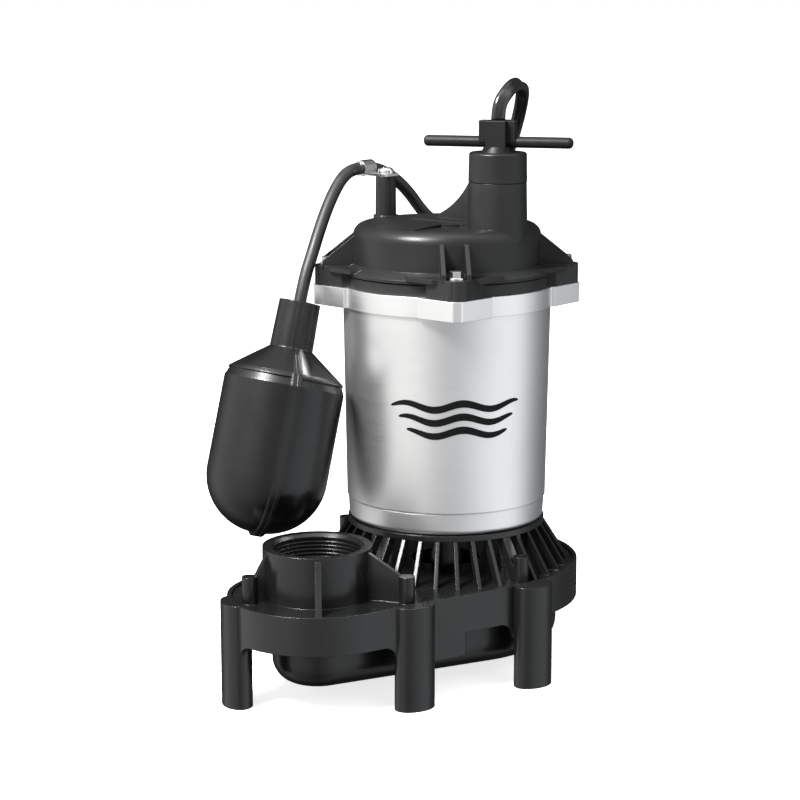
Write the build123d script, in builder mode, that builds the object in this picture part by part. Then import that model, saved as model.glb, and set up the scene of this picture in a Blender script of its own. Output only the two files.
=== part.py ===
from build123d import *
import math
import os

# Submersible sump pump: metal motor housing on a plastic intake and base, black cap with a
# carrying handle, and a tethered float switch. +Z is up and the feet stand on Z = 0.
# The discharge port is towards -X, the handle tower towards -Y, the float clip towards +Y.

# Motor axis and heights
MOTOR_X = 32.5
BASE_TOP = 58.5
SKIRT_BOTTOM = 37.0
JOINT_Z = 52.4
PLATFORM_Z = 57.4
HOUSING_BOTTOM = 84.0
GROOVE_Z = 97.0
FLANGE_BOTTOM = 208.6
FLANGE_TOP = 219.8
EAR_TOP = 231.0
EAR_LIP = 2.6
CAP_SHOULDER = 248.0
CAP_TOP = 255.5
TOWER_SEAM = 280.2
TOWER_TOP = 296.8
HANDLE_TOP = 314.5
BAR_Z = 302.5

# Base and volute
MOTOR_R = 77.0
PORT_X = -108.7
PORT_LOBE_R = 50.0
WALL = 2.6
BOWL_MOTOR_R = 65.0
BOWL_PORT_R = 25.4
BOWL_BOTTOM = 8.6
BOWL_WALL = 3.0
CHAMBER_FLOOR_R = 45.0
FOOT_HALF_WIDTH = 12.0
FOOT_HALF_DEPTH = 8.4
ARCH_R = 9.0
POST_R = 4.4
POST_TOP = 72.4
# Each foot as (x, y, outward angle, x and y of its screw post)
FEET = (
    (-150.5, 21.3, 152.0, -145.5, 15.6),
    (-90.2, -55.7, 255.6, -88.0, -48.0),
    (-15.5, -78.5, 259.0, -14.3, -68.1),
    (77.5, -3.0, -2.0, 69.6, -3.0),
    (-13.0, 77.5, 100.0, -12.0, 68.6),
)

# Discharge port, 1-1/2 inch pipe thread
PORT_R = 30.25
PORT_BORE_R = 24.15
PORT_TOP = 85.7
THREAD_PITCH = 2.2
THREAD_DEPTH = 1.0

# Intake grille
SLATS = 36
SLAT_PHASE = 6.2
SLAT_THICKNESS = 2.1
GRILLE_BOTTOM_R = 72.0
GRILLE_TOP_R = 57.2
GRILLE_RING_Z = 80.8
EYE_R = 20.0

# Motor housing
SHELL_BOTTOM_R = 57.1
SHELL_TOP_R = 59.7
SHELL_BORE_R = 54.0
FLANGE_R = 61.5
EAR_R = 76.3
EAR_SCREW_R = 68.0
LEG_RING_R = 42.0
LEG_START = 41.0
FLOOR_TOP = 92.0

# Motor
SHAFT_R = 5.97
BEARING_R = 16.0
BEARING_BORE_R = 6.0
BEARING_WIDTH = 10.0
UPPER_BEARING_Z = 194.0
STATOR_BORE_R = 27.6
ROTOR_R = 27.0
STACK_BOTTOM = 122.0
STACK_TOP = 172.0
SEAL_R = 11.0
IMPELLER_R = 44.0
IMPELLER_BOTTOM = 26.0
IMPELLER_TOP = 50.0

# Cap, tower and handle
CAP_R = 54.1
TOWER_Y = -37.2
TOWER_R = 17.0
TOWER_TOP_R = 16.0
PLUG_R = 12.4
BAR_TURN = -62.8
BAR_LENGTH = 85.0
BAR_R = 3.15
POST_Y = 47.4
CLAMP_POST_R = 5.9
CLAMP_POST_TOP = 278.3

# Float and its cord
FLOAT_CORD = 7.2
FLOAT_NECK = (-67.6, 52.0, 210.9)
FLOAT_TIP = (-104.8, 52.0, 82.6)
FLOAT_LENGTH = math.dist(FLOAT_NECK, FLOAT_TIP)
FLOAT_R = 34.5
NECK_R = 11.8
FLOAT_SHELL = 2.4
SEAM_DIRECTION = (-0.593, -0.815, 0.0)
CLIP = (-1.5, 62.5, 282.2)
CLIP_HALF_WIDTH = 5.5
CLIP_TAB = 1.6
GLAND_FACE_X = 60.5
BALL_R = 8.0

# Power cord
POWER_CORD = 8.0
COIL_X, COIL_Y = 135.1, 94.9
COIL_OUTER_R = 53.0
COIL_INNER_R = 35.0
COIL_HEIGHT = 27.0
COIL_ENTRY_TURN = -48.0
STUB = 32.0
PLUG_Z = 10.0

motor = Plane(origin=(MOTOR_X, 0, 0))
os.makedirs("parts", exist_ok=True)


def level(height):
    return motor.offset(height)


def at(x, y, z):
    """A point given from the motor axis, in the part's own frame."""
    return Vector(MOTOR_X + x, y, z)


def footprint(motor_r, port_r, mode=Mode.ADD):
    """Outline that wraps the motor circle and the discharge circle."""
    with BuildSketch(Plane.XY, mode=Mode.PRIVATE) as outline:
        Circle(motor_r)
        with Locations((PORT_X, 0)):
            Circle(port_r)
        make_hull()
    add(outline.sketch, mode=mode)


def polar(radius, degrees):
    turn = math.radians(degrees)
    return radius * math.cos(turn), radius * math.sin(turn)


def upright(origin, degrees):
    """A vertical plane through origin whose x axis points along an angle and y axis up."""
    turn = math.radians(degrees)
    return Plane(origin=origin, x_dir=(math.cos(turn), math.sin(turn), 0),
                 z_dir=(math.sin(turn), -math.cos(turn), 0))


def lobes(ring_r, tip_r, half_width):
    """A ring outline with four pointed corners at the diagonals."""
    Circle(ring_r)
    for corner in range(4):
        with BuildSketch(Plane.XY, mode=Mode.PRIVATE) as ear:
            Polygon((30, -half_width), (ring_r - 1.5, -half_width), (tip_r, -2.6), (tip_r, 2.6),
                    (ring_r - 1.5, half_width), (30, half_width), align=None)
            fillet(ear.vertices().group_by(Axis.X)[-1], 2.2)
        add(ear.sketch, rotation=45 + 90 * corner)


def route_line(points):
    """Straight runs joined by arcs, each as large as its two runs allow."""
    radii = []
    for before, here, after in zip(points, points[1:], points[2:]):
        run_in, run_out = here - before, after - here
        half_turn = math.radians(run_in.get_angle(run_out)) / 2
        radii.append(0.45 * min(run_in.length, run_out.length) / math.tan(half_turn))
    print("arc radii", [round(r, 1) for r in radii])
    FilletPolyline(*points, radius=radii)


# Base: skirt, feet and volute bowl in one moulding
with BuildPart() as foot_arches:
    for x, y, outward, _, _ in FEET:
        with BuildSketch(upright(at(x, y, 0), outward + 90)) as arch:
            with BuildLine() as arch_line:
                arch_end = FOOT_HALF_WIDTH - 0.6
                Polyline((-arch_end, SKIRT_BOTTOM - ARCH_R), (arch_end, SKIRT_BOTTOM - ARCH_R))
                RadiusArc((arch_end, SKIRT_BOTTOM - ARCH_R), (arch_end + ARCH_R, SKIRT_BOTTOM),
                          ARCH_R)
                Polyline((arch_end + ARCH_R, SKIRT_BOTTOM), (arch_end + ARCH_R, SKIRT_BOTTOM + 1),
                         (-arch_end - ARCH_R, SKIRT_BOTTOM + 1), (-arch_end - ARCH_R, SKIRT_BOTTOM))
                RadiusArc((-arch_end - ARCH_R, SKIRT_BOTTOM), (-arch_end, SKIRT_BOTTOM - ARCH_R),
                          ARCH_R)
            make_face()
    extrude(amount=16, both=True)
    with BuildSketch(level(20)) as skirt_band:
        footprint(MOTOR_R, PORT_LOBE_R)
        footprint(MOTOR_R - WALL, PORT_LOBE_R - WALL, mode=Mode.SUBTRACT)
    extrude(amount=20, mode=Mode.INTERSECT)

with BuildPart() as wall_web:
    with BuildSketch(level(24)) as web_outline:
        with Locations((-70, -52)):
            Rectangle(24, 26)
    extrude(amount=27)
    with BuildSketch(level(20)) as web_limit:
        footprint(MOTOR_R, PORT_LOBE_R)
    extrude(amount=32, mode=Mode.INTERSECT)

with BuildPart() as chamber:
    with BuildSketch(level(BOWL_BOTTOM + BOWL_WALL)) as chamber_outline:
        footprint(BOWL_MOTOR_R - BOWL_WALL, BOWL_PORT_R - BOWL_WALL)
    extrude(amount=JOINT_Z - BOWL_BOTTOM)
    fillet(chamber.faces().sort_by(Axis.Z)[0].edges(), 11)

with BuildPart() as base:
    with BuildSketch(level(BOWL_BOTTOM)) as bowl_outline:
        footprint(BOWL_MOTOR_R, BOWL_PORT_R)
    extrude(amount=JOINT_Z - BOWL_BOTTOM)
    fillet(base.faces().sort_by(Axis.Z)[0].edges(), 14)
    with BuildSketch(level(SKIRT_BOTTOM)) as skirt_outline:
        footprint(MOTOR_R, PORT_LOBE_R)
        footprint(MOTOR_R - WALL, PORT_LOBE_R - WALL, mode=Mode.SUBTRACT)
    extrude(amount=BASE_TOP - SKIRT_BOTTOM)
    with BuildSketch(level(JOINT_Z - 3)) as deck_outline:
        footprint(MOTOR_R - 1, PORT_LOBE_R - 1)
    extrude(amount=3)
    add(foot_arches.part)
    add(wall_web.part)
    for x, y, outward, _, _ in FEET:
        with BuildSketch(Plane(origin=at(x, y, 0))) as foot:
            Ellipse(FOOT_HALF_WIDTH, FOOT_HALF_DEPTH, rotation=outward + 90)
        extrude(amount=BASE_TOP)
    with BuildSketch(level(JOINT_Z)) as nest:
        footprint(MOTOR_R - WALL, PORT_LOBE_R - WALL)
    extrude(amount=20, mode=Mode.SUBTRACT)
    add(chamber.part, mode=Mode.SUBTRACT)
    with BuildSketch(level(BOWL_BOTTOM)) as chamber_floor:
        Circle(CHAMBER_FLOOR_R)
    extrude(amount=11.4)
    with BuildSketch(level(0)) as floor_recess:
        Circle(CHAMBER_FLOOR_R - 3)
    extrude(amount=17, mode=Mode.SUBTRACT)
    for _, _, _, x, y in FEET:
        with BuildSketch(Plane(origin=at(x, y, 0))) as screw_well:
            Circle(4.3)
        extrude(amount=JOINT_Z - 3, mode=Mode.SUBTRACT)
        with BuildSketch(Plane(origin=at(x, y, 0))) as screw_way:
            Circle(2.2)
        extrude(amount=BASE_TOP - 2, mode=Mode.SUBTRACT)
    with BuildSketch(level(JOINT_Z)) as seal_groove:
        footprint(BOWL_MOTOR_R - 0.4, BOWL_PORT_R + 1.6)
        footprint(BOWL_MOTOR_R - 2.0, BOWL_PORT_R, mode=Mode.SUBTRACT)
    extrude(amount=-1.4, mode=Mode.SUBTRACT)
base.part.label = "base"

with BuildPart() as volute_gasket:
    with BuildSketch(level(JOINT_Z - 1.4)) as gasket_ring:
        footprint(BOWL_MOTOR_R - 0.4, BOWL_PORT_R + 1.6)
        footprint(BOWL_MOTOR_R - 2.0, BOWL_PORT_R, mode=Mode.SUBTRACT)
    extrude(amount=1.4)
volute_gasket.part.label = "volute_gasket"

with BuildPart() as base_screws:
    for _, _, _, x, y in FEET:
        with BuildSketch(Plane(origin=at(x, y, JOINT_Z - 5.8))) as screw_head:
            RegularPolygon(3.9, 6)
        extrude(amount=2.8)
        with BuildSketch(Plane(origin=at(x, y, JOINT_Z - 3))) as screw_shank:
            Circle(1.9)
        extrude(amount=17)
base_screws.part.label = "base_screws"

# Intake: platform, discharge port, screw posts and conical grille in one moulding
port_plane = Plane(origin=at(PORT_X, 0, 0))
with BuildPart() as intake:
    with BuildSketch(level(JOINT_Z)) as platform:
        footprint(MOTOR_R - WALL - 0.2, PORT_LOBE_R - WALL - 0.2)
    extrude(amount=PLATFORM_Z - JOINT_Z)
    with BuildSketch(port_plane.offset(JOINT_Z)) as port_wall:
        Circle(PORT_R)
    extrude(amount=PORT_TOP - JOINT_Z)
    for index in range(SLATS):
        angle = SLAT_PHASE + 360 / SLATS * index
        with BuildSketch(upright(at(0, 0, 0), angle)) as slat:
            Polygon((GRILLE_BOTTOM_R, JOINT_Z + 1), (GRILLE_BOTTOM_R, PLATFORM_Z),
                    (GRILLE_TOP_R, GRILLE_RING_Z), (GRILLE_TOP_R, HOUSING_BOTTOM),
                    (51, HOUSING_BOTTOM), (51, GRILLE_RING_Z), (65, PLATFORM_Z),
                    (65, JOINT_Z + 1), align=None)
    extrude(amount=SLAT_THICKNESS / 2, both=True)
    with BuildSketch(level(GRILLE_RING_Z)) as grille_ring:
        Circle(GRILLE_TOP_R)
        Circle(50.5, mode=Mode.SUBTRACT)
    extrude(amount=HOUSING_BOTTOM - GRILLE_RING_Z)
    for _, _, _, x, y in FEET:
        with BuildSketch(Plane(origin=at(x, y, PLATFORM_Z - 1))) as post:
            Circle(POST_R)
        extrude(amount=POST_TOP - PLATFORM_Z + 1)
    for _, _, _, x, y in FEET[:2]:
        reach = math.dist((x, y), (PORT_X, 0))
        heading = math.degrees(math.atan2(y, x - PORT_X))
        with BuildSketch(upright(at(PORT_X, 0, 0), heading)) as post_web:
            Polygon((PORT_R - 2, PLATFORM_Z - 1), (reach, PLATFORM_Z - 1), (reach, POST_TOP),
                    (reach - 3, POST_TOP), (PORT_R, PORT_TOP - 1.8),
                    (PORT_R - 2, PORT_TOP - 1.8), align=None)
        extrude(amount=1.4, both=True)
    with BuildSketch(upright(at(PORT_X, 0, 0), 225)) as port_rib:
        Polygon((PORT_R - 2, PLATFORM_Z - 1), (PORT_LOBE_R - 4, PLATFORM_Z - 1),
                (PORT_R + 0.3, PORT_TOP - 1.7), (PORT_R - 2, PORT_TOP - 1.7), align=None)
    extrude(amount=1.7, both=True)
    with BuildSketch(level(JOINT_Z - 1.4)) as eye_lip:
        Circle(EYE_R + 3)
    extrude(amount=1.4 + 2)
    with BuildSketch(level(JOINT_Z - 2)) as eye:
        Circle(EYE_R)
    extrude(amount=PLATFORM_Z - JOINT_Z + 3, mode=Mode.SUBTRACT)
    with BuildSketch(port_plane.offset(JOINT_Z - 1)) as port_way:
        Circle(BOWL_PORT_R - BOWL_WALL)
    extrude(amount=20, mode=Mode.SUBTRACT)
    with BuildSketch(port_plane.offset(PLATFORM_Z + 2)) as port_bore:
        Circle(PORT_BORE_R)
    extrude(amount=40, mode=Mode.SUBTRACT)
    with BuildSketch(upright(at(PORT_X, 0, 0), 0)) as thread:
        Polygon((PORT_BORE_R - 1, PORT_TOP + 0.1), (PORT_BORE_R + 1.9, PORT_TOP + 0.1),
                (PORT_BORE_R - 1, PORT_TOP - 2.8), align=None)
        for turn in range(8):
            bottom = PORT_TOP - 2.6 - THREAD_PITCH * (turn + 1)
            Polygon((PORT_BORE_R - 0.5, bottom + 0.1),
                    (PORT_BORE_R + THREAD_DEPTH, bottom + THREAD_PITCH / 2),
                    (PORT_BORE_R - 0.5, bottom + THREAD_PITCH - 0.1), align=None)
    revolve(axis=Axis(at(PORT_X, 0, 0), (0, 0, 1)), mode=Mode.SUBTRACT)
    for _, _, _, x, y in FEET:
        with BuildSketch(Plane(origin=at(x, y, JOINT_Z - 1))) as thread_hole:
            Circle(1.9)
        extrude(amount=17, mode=Mode.SUBTRACT)
    for index in range(3):
        x, y = polar(LEG_RING_R, LEG_START + 120 * index)
        with BuildSketch(Plane(origin=at(x, y, JOINT_Z - 1))) as head_pocket:
            Circle(4.6)
        extrude(amount=3.6, mode=Mode.SUBTRACT)
        with BuildSketch(Plane(origin=at(x, y, JOINT_Z))) as leg_screw_way:
            Circle(2.1)
        extrude(amount=8, mode=Mode.SUBTRACT)
intake.part.label = "intake"

with BuildPart() as housing_screws:
    for index in range(3):
        x, y = polar(LEG_RING_R, LEG_START + 120 * index)
        with BuildSketch(Plane(origin=at(x, y, JOINT_Z + 0.2))) as leg_screw_head:
            Circle(4.2)
        extrude(amount=2.4)
        with BuildSketch(Plane(origin=at(x, y, JOINT_Z + 2.6))) as leg_screw:
            Circle(2.0)
        extrude(amount=20)
        with BuildSketch(Plane(origin=at(x, y, JOINT_Z + 0.2))) as socket:
            RegularPolygon(1.9, 6)
        extrude(amount=1.4, mode=Mode.SUBTRACT)
housing_screws.part.label = "housing_screws"

# Motor housing: die-cast shell, flange with four ears, floor and three legs
with BuildPart() as motor_housing:
    with BuildSketch(upright(at(0, 0, 0), 0)) as shell_profile:
        Polygon((0, HOUSING_BOTTOM), (SHELL_BOTTOM_R - 0.6, HOUSING_BOTTOM),
                (SHELL_BOTTOM_R, GROOVE_Z - 0.7), (SHELL_BOTTOM_R - 0.5, GROOVE_Z - 0.2),
                (SHELL_BOTTOM_R + 0.7, GROOVE_Z + 0.2), (SHELL_TOP_R, FLANGE_BOTTOM),
                (FLANGE_R, FLANGE_BOTTOM), (FLANGE_R, FLANGE_TOP), (SHELL_BORE_R, FLANGE_TOP),
                (SHELL_BORE_R, FLOOR_TOP), (20, FLOOR_TOP), (20, FLOOR_TOP + 10.5),
                (BEARING_R, FLOOR_TOP + 10.5), (BEARING_R, FLOOR_TOP), (0, FLOOR_TOP),
                align=None)
    revolve(axis=Axis(at(0, 0, 0), (0, 0, 1)))
    bottom_rim = motor_housing.edges().filter_by(GeomType.CIRCLE).sort_by(Axis.Z)[0]
    fillet(bottom_rim, 3.2)
    with BuildSketch(level(FLANGE_BOTTOM)) as flange_outline:
        lobes(FLANGE_R, EAR_R, 20.5)
        Circle(SHELL_BORE_R, mode=Mode.SUBTRACT)
    extrude(amount=FLANGE_TOP - FLANGE_BOTTOM)
    for index in range(3):
        x, y = polar(LEG_RING_R, LEG_START + 120 * index)
        with BuildSketch(Plane(origin=at(x, y, PLATFORM_Z))) as leg:
            Circle(4.6)
        extrude(amount=HOUSING_BOTTOM - PLATFORM_Z + 1, taper=-7)
    with BuildSketch(level(HOUSING_BOTTOM - 1)) as seal_bore:
        Circle(13)
    extrude(amount=6.5, mode=Mode.SUBTRACT)
    with BuildSketch(level(HOUSING_BOTTOM)) as shaft_way:
        Circle(7.5)
    extrude(amount=9, mode=Mode.SUBTRACT)
    for index in range(3):
        x, y = polar(LEG_RING_R, LEG_START + 120 * index)
        with BuildSketch(Plane(origin=at(x, y, PLATFORM_Z - 1))) as leg_hole:
            Circle(2.0)
        extrude(amount=20, mode=Mode.SUBTRACT)
    for corner in range(4):
        x, y = polar(EAR_SCREW_R, 45 + 90 * corner)
        with BuildSketch(Plane(origin=at(x, y, FLANGE_BOTTOM - 1))) as ear_hole:
            Circle(2.5)
        extrude(amount=14, mode=Mode.SUBTRACT)
motor_housing.part.label = "motor_housing"

# Motor internals
with BuildPart() as lower_bearing:
    with BuildSketch(level(FLOOR_TOP)) as lower_race:
        Circle(BEARING_R)
        Circle(BEARING_BORE_R, mode=Mode.SUBTRACT)
    extrude(amount=BEARING_WIDTH)
    with BuildSketch(level(FLOOR_TOP + BEARING_WIDTH)) as lower_shield:
        Circle(13)
        Circle(9, mode=Mode.SUBTRACT)
    extrude(amount=-0.6, mode=Mode.SUBTRACT)
lower_bearing.part.label = "lower_bearing"

with BuildPart() as bearing_bracket:
    with BuildSketch(level(200)) as bracket_plate:
        Circle(SHELL_BORE_R)
    extrude(amount=5)
    with BuildSketch(level(UPPER_BEARING_Z - 0.5)) as bracket_hub:
        Circle(20)
    extrude(amount=11.5)
    with BuildSketch(level(UPPER_BEARING_Z - 0.5)) as bracket_seat:
        Circle(BEARING_R)
    extrude(amount=10.5, mode=Mode.SUBTRACT)
    with BuildSketch(level(199)) as wire_windows:
        with PolarLocations(38, 4, start_angle=80):
            SlotOverall(20, 9, rotation=90)
    extrude(amount=8, mode=Mode.SUBTRACT)
bearing_bracket.part.label = "bearing_bracket"

with BuildPart() as upper_bearing:
    with BuildSketch(level(UPPER_BEARING_Z)) as upper_race:
        Circle(BEARING_R)
        Circle(BEARING_BORE_R, mode=Mode.SUBTRACT)
    extrude(amount=BEARING_WIDTH)
    with BuildSketch(level(UPPER_BEARING_Z)) as upper_shield:
        Circle(13)
        Circle(9, mode=Mode.SUBTRACT)
    extrude(amount=0.6, mode=Mode.SUBTRACT)
upper_bearing.part.label = "upper_bearing"

with BuildPart() as stator_core:
    with BuildSketch(level(STACK_BOTTOM)) as lamination:
        Circle(SHELL_BORE_R)
        Circle(STATOR_BORE_R, mode=Mode.SUBTRACT)
    extrude(amount=STACK_TOP - STACK_BOTTOM)
    with BuildSketch(level(STACK_BOTTOM)) as wire_slots:
        with PolarLocations(36.5, 24):
            SlotOverall(15, 4.4)
    extrude(amount=STACK_TOP - STACK_BOTTOM, mode=Mode.SUBTRACT)
stator_core.part.label = "stator_core"

with BuildPart() as windings:
    with BuildSketch(level(STACK_BOTTOM)) as slot_wire:
        with PolarLocations(36.5, 24):
            SlotOverall(15, 4.4)
    extrude(amount=STACK_TOP - STACK_BOTTOM)
    for bottom in (STACK_BOTTOM - 15, STACK_TOP):
        with BuildSketch(level(bottom)) as end_turns:
            Circle(48)
            Circle(30, mode=Mode.SUBTRACT)
        extrude(amount=15)
    fillet(windings.edges().filter_by(GeomType.CIRCLE).group_by(Axis.Z)[0], 5)
    fillet(windings.edges().filter_by(GeomType.CIRCLE).group_by(Axis.Z)[-1], 5)
windings.part.label = "windings"

with BuildPart() as rotor_core:
    with BuildSketch(level(STACK_BOTTOM - 1)) as rotor_outline:
        Circle(ROTOR_R)
        Circle(SHAFT_R + 1, mode=Mode.SUBTRACT)
    extrude(amount=STACK_TOP - STACK_BOTTOM + 2)
    for bottom in (STACK_BOTTOM - 6, STACK_TOP + 1):
        with BuildSketch(level(bottom)) as end_ring:
            Circle(ROTOR_R)
            Circle(18, mode=Mode.SUBTRACT)
        extrude(amount=5)
rotor_core.part.label = "rotor_core"

with BuildPart() as motor_shaft:
    with BuildSketch(level(IMPELLER_BOTTOM + 4)) as shaft_end:
        Circle(5)
    extrude(amount=32)
    with BuildSketch(level(IMPELLER_BOTTOM + 36)) as shaft_body:
        Circle(SHAFT_R)
    extrude(amount=UPPER_BEARING_Z + BEARING_WIDTH - 1 - IMPELLER_BOTTOM - 36)
    with BuildSketch(level(FLOOR_TOP + BEARING_WIDTH + 2)) as shaft_shoulder:
        Circle(SHAFT_R + 1)
    extrude(amount=UPPER_BEARING_Z - 2 - (FLOOR_TOP + BEARING_WIDTH + 2))
    chamfer(motor_shaft.edges().sort_by(Axis.Z)[-1], 0.6)
    with BuildSketch(level(IMPELLER_BOTTOM + 4)) as screw_hole:
        Circle(2.5)
    extrude(amount=14, mode=Mode.SUBTRACT)
motor_shaft.part.label = "motor_shaft"

with BuildPart() as seal_seat:
    with BuildSketch(level(HOUSING_BOTTOM + 0.5)) as seat_ring:
        Circle(13)
        Circle(7, mode=Mode.SUBTRACT)
    extrude(amount=5)
seal_seat.part.label = "seal_seat"

with BuildPart() as seal_head:
    with BuildSketch(level(69)) as bellows:
        Circle(SEAL_R)
        Circle(SHAFT_R, mode=Mode.SUBTRACT)
    extrude(amount=11)
    fillet(seal_head.edges().filter_by(GeomType.CIRCLE).group_by(Axis.Z)[0].sort_by(
        SortBy.LENGTH)[-1], 2.5)
    with BuildSketch(level(80)) as seal_face:
        Circle(9.5)
        Circle(SHAFT_R, mode=Mode.SUBTRACT)
    extrude(amount=HOUSING_BOTTOM + 0.2 - 80)
seal_head.part.label = "seal_head"

with BuildPart() as impeller:
    with BuildSketch(level(IMPELLER_BOTTOM)) as shroud:
        Circle(IMPELLER_R)
    extrude(amount=3)
    with BuildSketch(level(IMPELLER_BOTTOM + 3)) as vanes:
        for index in range(6):
            start = 60 * index
            with BuildLine() as vane_line:
                ThreePointArc(polar(9, start), polar(26, start + 38),
                              polar(IMPELLER_R - 1.5, start + 62))
                offset(amount=1.3, kind=Kind.ARC)
            make_face()
        Circle(11)
    extrude(amount=IMPELLER_TOP - IMPELLER_BOTTOM - 3)
    with BuildSketch(level(IMPELLER_TOP)) as hub:
        Circle(11)
    extrude(amount=18.8, taper=12)
    with BuildSketch(level(IMPELLER_BOTTOM)) as hub_bore:
        Circle(5)
    extrude(amount=36, mode=Mode.SUBTRACT)
    with BuildSketch(level(IMPELLER_BOTTOM + 36)) as hub_top_bore:
        Circle(SHAFT_R)
    extrude(amount=10, mode=Mode.SUBTRACT)
    with BuildSketch(level(IMPELLER_BOTTOM)) as nut_pocket:
        Circle(8)
    extrude(amount=4, mode=Mode.SUBTRACT)
impeller.part.label = "impeller"

with BuildPart() as impeller_screw:
    with BuildSketch(level(IMPELLER_BOTTOM + 0.4)) as impeller_screw_head:
        RegularPolygon(6.5, 6)
    extrude(amount=3.6)
    with BuildSketch(level(IMPELLER_BOTTOM + 4)) as impeller_screw_shank:
        Circle(2.5)
    extrude(amount=13)
impeller_screw.part.label = "impeller_screw"

with BuildPart() as run_capacitor:
    with BuildSketch(Plane(origin=at(25, 14, 205))) as can:
        Circle(14)
    extrude(amount=40)
    fillet(run_capacitor.edges().group_by(Axis.Z)[0], 2)
    for side in (-5, 5):
        with BuildSketch(Plane(origin=at(25 + side, 14, 245))) as tab:
            Rectangle(0.8, 6)
        extrude(amount=4.5)
run_capacitor.part.label = "run_capacitor"

with BuildPart() as overload_protector:
    with BuildSketch(Plane(origin=at(-26, 22, 205))) as protector:
        Circle(9)
    extrude(amount=9)
    with BuildSketch(Plane(origin=at(-26, 22, 214))) as protector_tabs:
        with Locations((-4, 0), (4, 0)):
            Rectangle(0.8, 5)
    extrude(amount=6)
overload_protector.part.label = "overload_protector"

# Cap with tower, clamp post and screw channels
tower_plane = Plane(origin=at(0, TOWER_Y, 0))
with BuildPart() as cap:
    with BuildSketch(level(FLANGE_TOP)) as band:
        Circle(59.6)
    extrude(amount=6.4)
    with BuildSketch(level(EAR_TOP - 4.2)) as ledge:
        Circle(60.6)
    extrude(amount=1.8)
    with BuildSketch(level(EAR_TOP - 2.4)) as ledge_slope:
        Circle(60.6)
    extrude(amount=3.6, taper=58)
    with BuildSketch(upright(at(0, 0, 0), 0)) as dome_profile:
        with BuildLine() as dome_line:
            Polyline((0, FLANGE_TOP), (CAP_R, FLANGE_TOP), (CAP_R - 0.2, CAP_SHOULDER))
            ThreePointArc((CAP_R - 0.2, CAP_SHOULDER), (CAP_R - 2.2, CAP_SHOULDER + 4.6),
                          (CAP_R - 7, CAP_TOP - 0.7))
            ThreePointArc((CAP_R - 7, CAP_TOP - 0.7), (24, CAP_TOP + 0.7), (0, CAP_TOP + 1.2))
            Line((0, CAP_TOP + 1.2), (0, FLANGE_TOP))
        make_face()
    revolve(axis=Axis(at(0, 0, 0), (0, 0, 1)))
    with BuildSketch(level(FLANGE_TOP)) as ear_plates:
        for corner in range(4):
            with BuildSketch(Plane.XY, mode=Mode.PRIVATE) as ear_plate:
                Polygon((50, -16.5), (FLANGE_R - 0.5, -16), (EAR_R - 1.2, -4.2),
                        (EAR_R - 1.2, 4.2), (FLANGE_R - 0.5, 16), (50, 16.5), align=None)
                fillet(ear_plate.vertices().group_by(Axis.X)[-1], 3.5)
            add(ear_plate.sketch, rotation=45 + 90 * corner)
    extrude(amount=EAR_TOP - FLANGE_TOP)
    with BuildSketch(level(EAR_TOP - EAR_LIP)) as ear_lips:
        for corner in range(4):
            with BuildSketch(Plane.XY, mode=Mode.PRIVATE) as ear_lip:
                Polygon((46, -27), (56.5, -26.5), (FLANGE_R + 6.5, -13.5), (FLANGE_R + 6.5, 13.5),
                        (56.5, 26.5), (46, 27), align=None)
            add(ear_lip.sketch, rotation=45 + 90 * corner)
    extrude(amount=EAR_LIP)
    for corner in range(4):
        angle = 45 + 90 * corner
        for side in (-1, 1):
            offset_x, offset_y = polar(6.9 * side, angle + 90)
            with BuildSketch(upright(at(offset_x, offset_y, 0), angle)) as channel_web:
                Polygon((50, EAR_TOP - 1), (71.5, EAR_TOP - 1), (71.5, EAR_TOP + 3),
                        (CAP_R - 0.5, CAP_SHOULDER + 0.4), (50, CAP_SHOULDER + 0.4), align=None)
            extrude(amount=1.2, both=True)
        x, y = polar(EAR_R - 5.4, angle)
        with BuildSketch(Plane(origin=at(x, y, FLANGE_TOP))) as corner_pillar:
            Circle(4.9)
        extrude(amount=EAR_TOP - FLANGE_TOP)
    with BuildSketch(level(CAP_TOP - 4)) as spine:
        with Locations((0, -20)):
            SlotOverall(92, 25, rotation=90)
        Circle(50, mode=Mode.INTERSECT)
    extrude(amount=5.8)
    with BuildSketch(level(CAP_TOP + 4)) as pockets:
        Circle(46)
        Circle(24, mode=Mode.SUBTRACT)
        with Locations((0, 23)):
            Rectangle(140, 72, mode=Mode.SUBTRACT)
        with Locations((0, -20)):
            SlotOverall(92, 25, rotation=90, mode=Mode.SUBTRACT)
    extrude(amount=-5.0, mode=Mode.SUBTRACT)
    with BuildSketch(tower_plane.offset(CAP_TOP - 8)) as tower:
        Circle(TOWER_R)
    extrude(amount=TOWER_SEAM - CAP_TOP + 8, taper=1.3)
    with BuildSketch(upright(at(0, 0, 0), 90)) as fin:
        with BuildLine() as fin_line:
            Polyline((-22, CAP_TOP - 2), (-22, TOWER_SEAM - 0.3), (-18, TOWER_SEAM - 0.3))
            ThreePointArc((-18, TOWER_SEAM - 0.3), (-9.6, 269.2), (5.5, 259.2))
            Polyline((5.5, 259.2), (7, CAP_TOP - 2), (-22, CAP_TOP - 2))
        make_face()
    extrude(amount=1.7, both=True)
    with BuildSketch(Plane(origin=at(0, POST_Y, CAP_TOP - 4))) as clamp_post:
        Circle(CLAMP_POST_R + 1.4)
    extrude(amount=4)
    with BuildSketch(Plane(origin=at(0, POST_Y, CAP_TOP))) as clamp_post_top:
        Circle(CLAMP_POST_R + 0.2)
    extrude(amount=CLAMP_POST_TOP - CAP_TOP, taper=0.5)
    with BuildSketch(Plane(origin=at(46, 0, 238), x_dir=(0, 1, 0), z_dir=(1, 0, 0))) as gland_boss:
        Circle(7)
    extrude(amount=11)
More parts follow.
